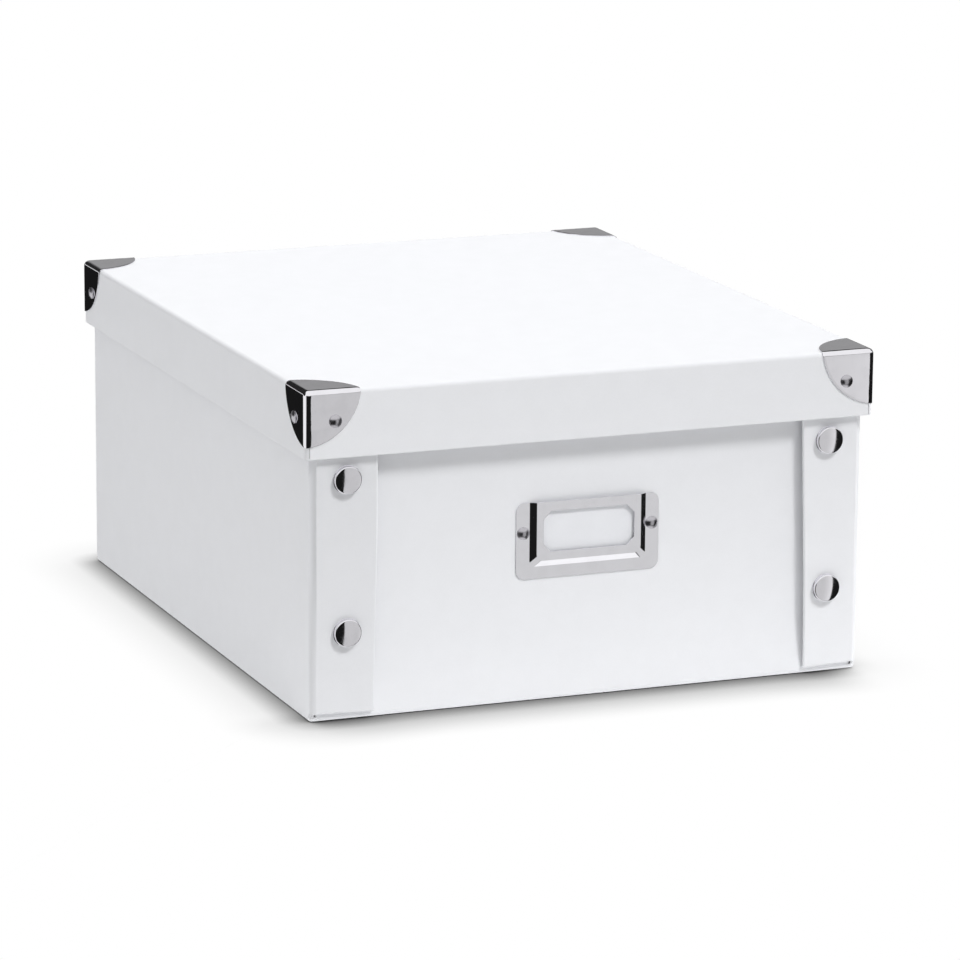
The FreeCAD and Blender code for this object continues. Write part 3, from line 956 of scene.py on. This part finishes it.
@dataclass
class Lid:
    """The lid's papers and boards."""

    finishes: Finishes
    fold_radius: float = 2.0 * MM
    foot_round: float = 0.4 * MM
    seam_width: float = 0.5 * MM
    seam_depth: float = 0.5 * MM
    seam_foot: float = 0.9 * MM
    seam_slack: float = 0.05 * MM
    liner_proud: float = 0.1 * MM
    weld: float = 0.02 * MM

    def seams(self, bm: Mesh, corner: Vector) -> None:
        """Presses in the lines where the side skirts' ends meet the front and back skirts.

        Args:
            bm: the cover, before it has its thickness.
            corner: the lid's highest corner.
        """
        low = min(vert.co.z for vert in bm.verts) + self.seam_foot
        high = corner.z - 2 * self.fold_radius
        for middle in (PANEL - corner.x, corner.x - PANEL):
            for offset in (-self.seam_width / 2, 0, self.seam_width / 2):
                cut(bm, RIGHT * (middle + offset), RIGHT)
            for height in (low, high):
                cut(bm, UP * height, UP)
            for vert in bm.verts:
                on_line = abs(vert.co.x - middle) < self.seam_width / 4
                if on_line and low - self.seam_slack < vert.co.z < high + self.seam_slack:
                    vert.co.y -= math.copysign(self.seam_depth, vert.co.y)

    def cover(self) -> Mesh:
        """The cover paper, rounded at the lid's edges and turned in round the skirt's foot.

        Returns:
            The paper with its thickness.
        """
        low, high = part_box("lid_cover_paper")
        bm = bmesh.new()
        block(bm, low, high)
        drop_faces(bm, lambda face: face.normal.z < -ALIKE)
        round_edges(bm, hard_edges(bm), self.fold_radius, segments=8)
        self.seams(bm, high)
        for rise in (0, TURN_IN + PAPER):
            rim = [edge for edge in bm.edges if edge.is_boundary]
            made = bmesh.ops.extrude_edge_only(bm, edges=rim)
            for vert in (item for item in made["geom"] if isinstance(item, bmesh.types.BMVert)):
                vert.co.x = clamped(vert.co.x, PANEL - high.x, high.x - PANEL)
                vert.co.y = clamped(vert.co.y, PANEL - high.y, high.y - PANEL)
                vert.co.z += rise
        bmesh.ops.remove_doubles(bm, verts=bm.verts, dist=self.weld)
        feet = [edge for edge in hard_edges(bm) if max(vert.co.z for vert in edge.verts) < low.z + PAPER]
        round_edges(bm, feet, self.foot_round, segments=3)
        return thicken(bm)

    def liner(self) -> Mesh:
        """The liner inside the skirt and under the top.

        Returns:
            The paper with its thickness.
        """
        low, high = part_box("lid_cover_paper")
        inset = Vector((PANEL + self.liner_proud, PANEL + self.liner_proud, 0))
        bm = bmesh.new()
        block(bm, low + inset + UP * TURN_IN, high - inset - UP * (PANEL + self.liner_proud))
        drop_faces(bm, lambda face: face.normal.z < -ALIKE)
        bmesh.ops.reverse_faces(bm, faces=bm.faces)
        return thicken(bm)

    def build(self) -> None:
        """Builds the papers and dresses the boards."""
        self.finishes.settle(self.cover(), "lid_cover", Slot.COVER, Body.LID, "lid_cover_paper")
        self.finishes.settle(self.liner(), "lid_liner", Slot.LINER, Body.LID, "lid_liner_paper")
        for side in ("top", "front_skirt", "back_skirt", "left_skirt", "right_skirt"):
            self.finishes.dress_node(f"lid_{side}_board", Slot.BOARD)


@dataclass
class Rivet:
    """A rivet with its domed head outside and its spread tail inside what it holds together."""

    stack: float
    shank_radius: float = 1.2 * MM
    tail_radius: float = 1.9 * MM
    tail_length: float = 0.35 * MM
    tail_slope: float = 0.3 * MM
    head_radius: float = 2.8 * MM
    head_height: float = 1.4 * MM
    soft: float = 0.12 * MM
    fullness: float = 2.2
    steps: int = 14

    def crown(self) -> Outline:
        """Outline of the domed head, from its edge to its axis.

        Returns:
            Points of radius and height.
        """
        foot = 2 * self.soft
        reaches = [math.cos(math.pi / 2 * i / self.steps) for i in range(self.steps)] + [0.0]
        heights = [foot + (self.head_height - foot) * (1 - reach ** self.fullness) for reach in reaches]
        return [(self.head_radius * reach, height) for reach, height in zip(reaches, heights)]

    def solid(self, foot: Vector, outward: Vector) -> Mesh:
        """One rivet.

        Args:
            foot: where its axis meets the metal's outer face.
            outward: direction of its head.

        Returns:
            The rivet.
        """
        behind, soft = -self.stack - self.tail_length, self.soft
        tail = [(0, behind), (self.tail_radius - self.tail_slope, behind), (self.tail_radius, behind + soft)]
        shank = [(self.tail_radius, -self.stack), (self.shank_radius, -self.stack), (self.shank_radius, 0)]
        brim = [(self.head_radius - soft, 0), (self.head_radius, soft)]
        return turned(tail + shank + brim + self.crown(), foot, outward)


@dataclass
class LidCorners:
    """The lid's pressed metal corners with their rivets."""

    finishes: Finishes
    sheet: float = 0.5 * MM
    edge_radius: float = 2.5 * MM
    bulge: float = 0.69
    pillow: float = 0.08 * MM
    rim_round: float = 0.14 * MM
    rivet_inset: float = 13.5 * MM
    stack: float = 2.65 * MM

    def __post_init__(self) -> None:
        """Reads the front left corner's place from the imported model."""
        low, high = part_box("front_left_lid_corner")
        self.tip = Vector((low.x, low.y, high.z))
        self.legs = high - low

    def lobe_reach(self, angle: float) -> float:
        """How far a lobe reaches from the tip, as a share of its leg.

        Args:
            angle: direction across the lobe, from one leg at 0 to the other at a quarter turn.

        Returns:
            The share, on the circle through both legs' ends and the lobe's bulge.
        """
        centre = (1 - 2 * self.bulge ** 2) / (2 - 4 * self.bulge)
        radius_squared = 2 * (self.bulge - centre) ** 2
        along = centre * (math.cos(angle) + math.sin(angle))
        return along + math.sqrt(along ** 2 - 2 * centre ** 2 + radius_squared)

    def place(self, turn: float, reach: float) -> Vector:
        """A point of the front left corner's outer face.

        Args:
            turn: from 0 to 1 round the three lobes, front, side and top.
            reach: from 0 at the tip to 1 at the rim.

        Returns:
            The point.
        """
        lobe = min(int(turn * 3), 2)
        angle = math.pi / 2 * (1 - math.cos(math.pi * (turn * 3 - lobe))) / 2
        out = self.lobe_reach(angle) * reach
        first, second = ((0, 2), (2, 1), (1, 0))[lobe]
        inward = Vector()
        inward[first] = out * math.cos(angle) * self.legs[first]
        inward[second] = out * math.sin(angle) * self.legs[second]
        core = Vector(max(value, self.edge_radius) for value in inward)
        outward = (inward - core).normalized()
        flat = math.sin(math.pi * reach) * math.sin(2 * angle)
        point = core + outward * (self.edge_radius + self.pillow * (flat - 1))
        return self.tip + Vector((point.x, point.y, -point.z))

    def corner(self) -> Mesh:
        """The front left corner as pressed sheet with a softened rim.

        Returns:
            The metal with its thickness.
        """
        bm = bent_sheet(LEFT + FRONT + UP, self.place, columns=84, rows=22)
        bmesh.ops.remove_doubles(bm, verts=bm.verts, dist=SAME_PLACE)
        thicken(bm, self.sheet)
        round_edges(bm, hard_edges(bm), self.rim_round, segments=2)
        return bm

    def build(self) -> None:
        """Builds the corners and the rivets, and dresses the washers."""
        for name, signs in zip(CORNER_NAMES, CORNERS):
            metal = spread(bmesh.new(), self.corner(), (signs,))
            self.finishes.settle(metal, name + "_corner", Slot.CORNER, Body.LID, name + "_lid_corner")
        rivet = Rivet(self.stack)
        rivets = bmesh.new()
        for inward, outward in ((RIGHT, FRONT), (-FRONT, LEFT)):
            foot = self.tip + (inward + DOWN) * self.rivet_inset
            spread(rivets, rivet.solid(foot, outward), CORNERS)
        self.finishes.settle(rivets, "corner_rivets", Slot.RIVET, Body.LID, "lid_corner_rivets")
        self.finishes.dress_node("lid_corner_washers", Slot.RIVET)


@dataclass
class PressStuds:
    """The eight press studs that hold the flaps to the front and back walls.

    A cap's rim is given by radius and height in millimetres, up its outside and in over its rolled edge.
    """

    finishes: Finishes
    rim_outside: tuple = ((0, 0), (6.15, 0), (6.3, 0.14), (6.3, 0.36))
    rim_edge: tuple = ((6.24, 0.5), (6.16, 0.54), (6.08, 0.5), (6.05, 0.48))
    rim_radius: float = 6.3 * MM
    crown_radius: float = 6.05 * MM
    cap_height: float = 2.9 * MM
    crown_rise: float = 0.5 * MM
    shoulder_radius: float = 0.7 * MM
    shoulder_turn: float = math.radians(79)
    steps: int = 12
    post_radius: float = 4.9 * MM
    post_flange: float = 0.6 * MM
    post_dish: float = 0.3 * MM
    post_soft: float = 0.15 * MM

    def __post_init__(self) -> None:
        """Reads the front left studs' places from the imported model."""
        low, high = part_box("front_stud_caps")
        self.across = low.x + self.rim_radius
        self.heights = low.z + self.rim_radius, high.z - self.rim_radius
        self.flap_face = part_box("body_cover_paper")[0].y
        self.wall_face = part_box("front_stud_buttons")[1].y

    def cap(self) -> Outline:
        """Outline of a cap with its flared rim, from the flap's face out.

        Returns:
            Points of radius and height.
        """
        outline = [(radius * MM, height * MM) for radius, height in self.rim_outside + self.rim_edge]
        foot = self.cap_height - self.crown_rise - self.shoulder_radius
        around = self.crown_radius - self.shoulder_radius
        for turn in (self.shoulder_turn * i / self.steps for i in range(self.steps + 1)):
            height = foot + self.shoulder_radius * math.sin(turn)
            outline.append((around + self.shoulder_radius * math.cos(turn), height))
        radius, height = outline[-1]
        shares = [1 - i / self.steps for i in range(1, self.steps + 1)]
        rise = self.cap_height - height
        return outline + [(radius * part, height + rise * (1 - part * part)) for part in shares]

    def post(self) -> Outline:
        """Outline of a post's dished head, from the wall's inner face in.

        Returns:
            Points of radius and height.
        """
        face, edge, soft, dish = self.post_flange, self.post_radius, self.post_soft, self.post_dish
        outer = [(0, 0), (edge, 0), (edge, face - soft), (edge - soft, face), (edge - 2 * dish, face)]
        return outer + [(edge - 3 * dish, face - dish), (0, face - dish)]

    def build(self) -> None:
        """Builds the caps and the posts, and dresses the sockets and the buttons between them."""
        settle = self.finishes.settle
        for end, sign in END_NAMES:
            caps, posts = bmesh.new(), bmesh.new()
            for height in self.heights:
                outside = Vector((self.across, self.flap_face, height))
                inside = Vector((self.across, self.wall_face + PANEL, height))
                spread(caps, turned(self.cap(), outside, FRONT), ((1, sign), (-1, sign)))
                spread(posts, turned(self.post(), inside, -FRONT), ((1, sign), (-1, sign)))
            settle(caps, end + "_caps", Slot.STUD, Body.BOX, end + "_stud_caps")
            settle(posts, end + "_posts", Slot.STUD, Body.BOX, end + "_stud_posts")
            self.finishes.dress_node(end + "_stud_sockets", Slot.STUD)
            self.finishes.dress_node(end + "_stud_buttons", Slot.STUD)


@dataclass
class LabelHolder:
    """The metal label holder on the front wall, with its rivets, washers and card."""

    finishes: Finishes
    sheet: float = 0.5 * MM
    washer: float = 0.3 * MM
    bend_round: float = 0.22 * MM
    card_round: float = 0.06 * MM
    rounded_above: float = 24.0
    rivet_x: float = 29.7 * MM
    rivet_above_middle: float = 3.5 * MM

    def softened(self, node: str, radius: float) -> Mesh:
        """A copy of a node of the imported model, with its hard edges rounded.

        Args:
            node: name of the node.
            radius: the rounding's radius.

        Returns:
            The new mesh.
        """
        bm = bmesh.new()
        bm.from_mesh(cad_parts[node].data)
        bmesh.ops.remove_doubles(bm, verts=bm.verts, dist=SAME_PLACE)
        bmesh.ops.dissolve_limit(bm, angle_limit=math.radians(1), verts=bm.verts, edges=bm.edges)
        round_edges(bm, hard_edges(bm, self.rounded_above), radius, segments=2)
        return bm

    def build(self) -> None:
        """Builds the holder, its rivets and the card, and dresses the washers."""
        settle = self.finishes.settle
        holder = self.softened("label_holder", self.bend_round)
        settle(holder, "holder_plate", Slot.HOLDER, Body.BOX, "label_holder")
        card = self.softened("label_card", self.card_round)
        settle(card, "blank_card", Slot.CARD, Body.CARD, "label_card")
        low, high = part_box("label_holder")
        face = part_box("front_stud_buttons")[1].y - self.sheet
        middle = (low.z + high.z) / 2 + self.rivet_above_middle
        rivet = Rivet(PANEL + self.sheet + self.washer)
        rivets = spread(bmesh.new(), rivet.solid(Vector((-self.rivet_x, face, middle)), FRONT), SIDES)
        settle(rivets, "holder_rivets", Slot.RIVET, Body.BOX, "label_holder_rivets")
        self.finishes.dress_node("label_holder_washers", Slot.RIVET)


def raised(fade: tuple) -> tuple:
    """A fade between two angles above the horizon, as one between heights on a ball of radius 1."""
    return *(math.sin(math.radians(angle)) for angle in fade[:2]), *fade[2:]


@dataclass
class Studio:
    """Camera, floor, lights and the cards that the metal mirrors. Angles are in degrees.

    A fade is a tuple of where it starts, where it ends, its first value and its last.
    """

    yaw: float = 21.71
    pitch: float = 13.28
    roll: float = -0.43
    lens: float = 190.8
    beside: float = 8.2 * MM
    above: float = 60.2 * MM
    distance: float = 2323.1 * MM
    key_direction: tuple = (0.36, -0.56, 0.8)
    key_strength: float = 1.8
    key_spread: float = 15.0
    side_direction: tuple = (1.0, 0.0, 0.08)
    side_strength: float = 0.35
    side_spread: float = 25.0
    sky_upwards: tuple = (0.0, 1.0, 0.6, 1.0)
    sky_backwards: tuple = (-0.9, 0.4, 0.12, 1.52)
    floor_size: float = 12.0
    floor_drop: float = 0.05 * MM
    floor_colour: tuple = (0.7, 0.7, 0.7, 1)
    glow_outwards: tuple = (160 * MM, 420 * MM, 0.42, 0.0)
    glow_across: tuple = (-170 * MM, 170 * MM, 0.95, 1.4)
    glow_front: tuple = (-175 * MM, -145 * MM)
    contact_reach: float = 14 * MM
    contact_depth: float = 1.3
    shadow_reach: float = 40 * MM
    shadow_depth: tuple = (-158 * MM, -130 * MM, 1.4, 0.45)
    shadow_across: tuple = (105 * MM, 132 * MM, 1.0, 0.2)
    wall_cards: tuple = ((0, 0.01), (126, 0.01), (131, 1.0), (199, 1.0), (206, 0.01))
    back_half: tuple = (-0.02, 0.02, 0.0, 1.0)
    back_foot: tuple = (0.02, 0.04, 0.0, 1.0)
    back_right: tuple = (-0.1, 0.0, 0.0, 1.0)
    slit: tuple = (0.08, 0.1, 1.0, 0.02)
    grey_card: tuple = (18, 23, 0.33, 0.02)
    front_ceiling: tuple = (9, 22, 0.0, 1.0)
    back_ceiling: tuple = (43, 48, 0.0, 1.0)
    floor_card: tuple = (-57, -49, 1.0, 0.0)
    floor_card_back: tuple = (0.0, 0.15, 1.0, 0.35)
    ball_radius: float = 6.0
    front_card_y: float = -650 * MM
    front_card_x: tuple = (-6 * MM, 450 * MM)
    front_card_z: tuple = (-450 * MM, 250 * MM)
    front_card_across: tuple = (250 * MM, 450 * MM, 0.64, 0.84)

    def camera(self) -> None:
        """Puts the camera at the photograph's viewing angle."""
        yaw, pitch, roll = (math.radians(angle) for angle in (self.yaw, self.pitch, self.roll))
        right = Vector((math.cos(yaw), -math.sin(yaw), 0))
        level = Vector((math.sin(yaw), math.cos(yaw), 0))
        forward = level * math.cos(pitch) + DOWN * math.sin(pitch)
        up = right.cross(forward)
        place = right * self.beside + up * self.above - forward * self.distance
        rolled_right = right * math.cos(roll) - up * math.sin(roll)
        rolled_up = right * math.sin(roll) + up * math.cos(roll)
        axes = Matrix((rolled_right, rolled_up, -forward)).transposed()
        data = bpy.data.cameras.new("camera")
        data.lens = self.lens
        data.clip_start, data.clip_end = 0.05, 100
        camera = bpy.data.objects.new("camera", data)
        camera.matrix_world = Matrix.Translation(place) @ axes.to_4x4()
        bpy.context.scene.collection.objects.link(camera)
        bpy.context.scene.camera = camera

    def staged(self, bm: Mesh, name: str, material: Material) -> Thing:
        """Adds a mesh that isn't part of the box.

        Args:
            bm: the mesh, which is used up.
            name: its name.
            material: its material.

        Returns:
            The new object.
        """
        made = add_object(bm, name, material)
        return made

    def glowing(self, nodes: Nodes, strength: Socket) -> Node:
        """Adds a light of its own to a material."""
        return nodes.add("ShaderNodeEmission", {"Strength": strength})

    def floor(self) -> None:
        """Lays the floor, which looks plain white but for a painted shadow close to the box: the camera sees
        glowing white, darkened by ambient occlusion.
        """
        nodes, made = blank_material("pale_floor")
        place = nodes.place()
        across, along, _ = nodes.parts(place)
        away = nodes.vector("LENGTH", place, "Value")
        uneven = nodes.ramp(along, *self.glow_front, nodes.ramp(across, *self.glow_across), 1.0)
        glow = self.glowing(nodes, nodes.times(nodes.ramp(away, *self.glow_outwards), uneven))
        matt = nodes.add("ShaderNodeBsdfDiffuse", {"Color": self.floor_colour})
        lit = nodes.add("ShaderNodeAddShader", {0: matt.outputs[0], 1: glow.outputs[0]})
        rightwards = nodes.ramp(across, *self.shadow_across)
        wide_depth = nodes.ramp(along, *self.shadow_depth)
        painted_shadows = []
        for reach, depth in ((self.shadow_reach, wide_depth), (self.contact_reach, self.contact_depth)):
            open_share = nodes.add("ShaderNodeAmbientOcclusion", {"Distance": reach}, samples=16)
            painted_shadows.append(nodes.maths("POWER", open_share.outputs["AO"], nodes.times(rightwards, depth)))
        # painted shadow: the white glow that the camera sees, darkened by ambient occlusion near the box and
        # less so to its right
        white = self.glowing(nodes, nodes.times(*painted_shadows))
        seen = nodes.add("ShaderNodeLightPath").outputs["Is Camera Ray"]
        mixed = nodes.add("ShaderNodeMixShader", {0: seen, 1: lit.outputs[0], 2: white.outputs[0]})
        nodes.surface("ShaderNodeOutputMaterial", mixed)
        bm = bmesh.new()
        bmesh.ops.create_grid(bm, x_segments=1, y_segments=1, size=self.floor_size)
        bmesh.ops.translate(bm, vec=DOWN * self.floor_drop, verts=bm.verts)
        self.staged(bm, "floor", made).visible_glossy = False

    def lamp(self, name: str, direction: tuple, strength: float, spread_angle: float) -> None:
        """Adds a far lamp that the metal doesn't mirror.

        Args:
            name: its name.
            direction: the way from the box to it.
            strength: its strength.
            spread_angle: how wide it looks from the box.
        """
        data = bpy.data.lights.new(name, "SUN")
        data.energy = strength
        data.angle = math.radians(spread_angle)
        lamp = bpy.data.objects.new(name, data)
        lamp.rotation_euler = Vector(direction).to_track_quat("Z", "Y").to_euler()
        lamp.visible_glossy = False
        bpy.context.scene.collection.objects.link(lamp)

    def lights(self) -> None:
        """Adds the lamps and the soft light from all round."""
        self.lamp("key", self.key_direction, self.key_strength, self.key_spread)
        self.lamp("side", self.side_direction, self.side_strength, self.side_spread)
        world = bpy.data.worlds.new("surroundings")
        bpy.context.scene.world = world
        world.use_nodes = True
        world.node_tree.nodes.clear()
        nodes = Nodes(world.node_tree)
        _, along, up = nodes.parts(nodes.place("Generated"))
        soft = nodes.times(nodes.ramp(up, *self.sky_upwards), nodes.ramp(along, *self.sky_backwards))
        rays = nodes.add("ShaderNodeLightPath").outputs
        seen = nodes.greatest(*(rays[f"Is {kind} Ray"] for kind in ("Camera", "Glossy", "Transmission")))
        strength = nodes.between(seen, soft, 1.0)
        nodes.surface("ShaderNodeOutputWorld", nodes.add("ShaderNodeBackground", {"Strength": strength}))

    def mirrored_only(self, thing: Thing) -> None:
        """Hides a thing from everything but reflections."""
        for kind in ("camera", "diffuse", "transmission", "volume_scatter", "shadow"):
            setattr(thing, "visible_" + kind, False)

    def cards(self) -> None:
        """Puts white and black cards all round, which only the metal mirrors."""
        nodes, made = blank_material("studio_cards")
        across, along, up = nodes.parts(nodes.vector("NORMALIZE", nodes.place(), "Vector"))
        turn = nodes.maths("DIVIDE", nodes.maths("ARCTAN2", along, across), 2 * math.pi)
        wall = nodes.add("ShaderNodeValToRGB", {0: nodes.maths("FRACT", turn)})
        stops = wall.color_ramp.elements
        for i, (degrees, value) in enumerate(self.wall_cards):
            stop = stops[i] if i < 2 else stops.new(degrees / 360)
            stop.position = degrees / 360
            stop.color = (value, value, value, 1)
        behind = nodes.ramp(along, *self.back_half)
        low_back = nodes.times(behind, nodes.ramp(up, *self.back_foot))
        slit, grey = nodes.ramp(up, *self.slit), nodes.ramp(up, *raised(self.grey_card))
        back = nodes.between(nodes.ramp(across, *self.back_right), slit, grey)
        middle = nodes.between(low_back, wall.outputs[0], back)
        ceilings = (nodes.ramp(up, *raised(fade)) for fade in (self.front_ceiling, self.back_ceiling))
        top = nodes.between(behind, *ceilings)
        steep = nodes.ramp(up, *raised(self.floor_card))
        below = nodes.times(steep, nodes.ramp(along, *self.floor_card_back))
        glow = self.glowing(nodes, nodes.between(nodes.greatest(top, below), middle, 1.0))
        nodes.surface("ShaderNodeOutputMaterial", glow)
        bm = bmesh.new()
        bmesh.ops.create_uvsphere(bm, u_segments=64, v_segments=32, radius=self.ball_radius)
        self.mirrored_only(self.staged(bm, "studio_cards", made))

    def front_card(self) -> None:
        """Puts a pale card in front, brighter towards its right end, which only the metal mirrors."""
        nodes, made = blank_material("front_card")
        across, _, _ = nodes.parts(nodes.place())
        glow = self.glowing(nodes, nodes.ramp(across, *self.front_card_across))
        nodes.surface("ShaderNodeOutputMaterial", glow)
        left, right = self.front_card_x
        low, high = self.front_card_z

        def place(x: float, z: float) -> Vector:
            """A point of the card."""
            return Vector((left + (right - left) * x, self.front_card_y, low + (high - low) * z))

        card = bent_sheet(FRONT, place, columns=1, rows=1)
        self.mirrored_only(self.staged(card, "front_card", made))

    def build(self) -> None:
        """Sets up the whole studio."""
        bpy.context.scene.view_settings.view_transform = "Standard"
        self.camera()
        self.floor()
        self.lights()
        self.cards()
        self.front_card()


def main() -> None:
    """Builds the studio and the box."""
    logging.basicConfig(level=logging.INFO, format="%(name)s: %(message)s")
    Studio().build()
    finishes = Finishes()
    for assembly in (BoxBody, Lid, LidCorners, PressStuds, LabelHolder):
        assembly(finishes).build()


if __name__ == "__main__":
    main()
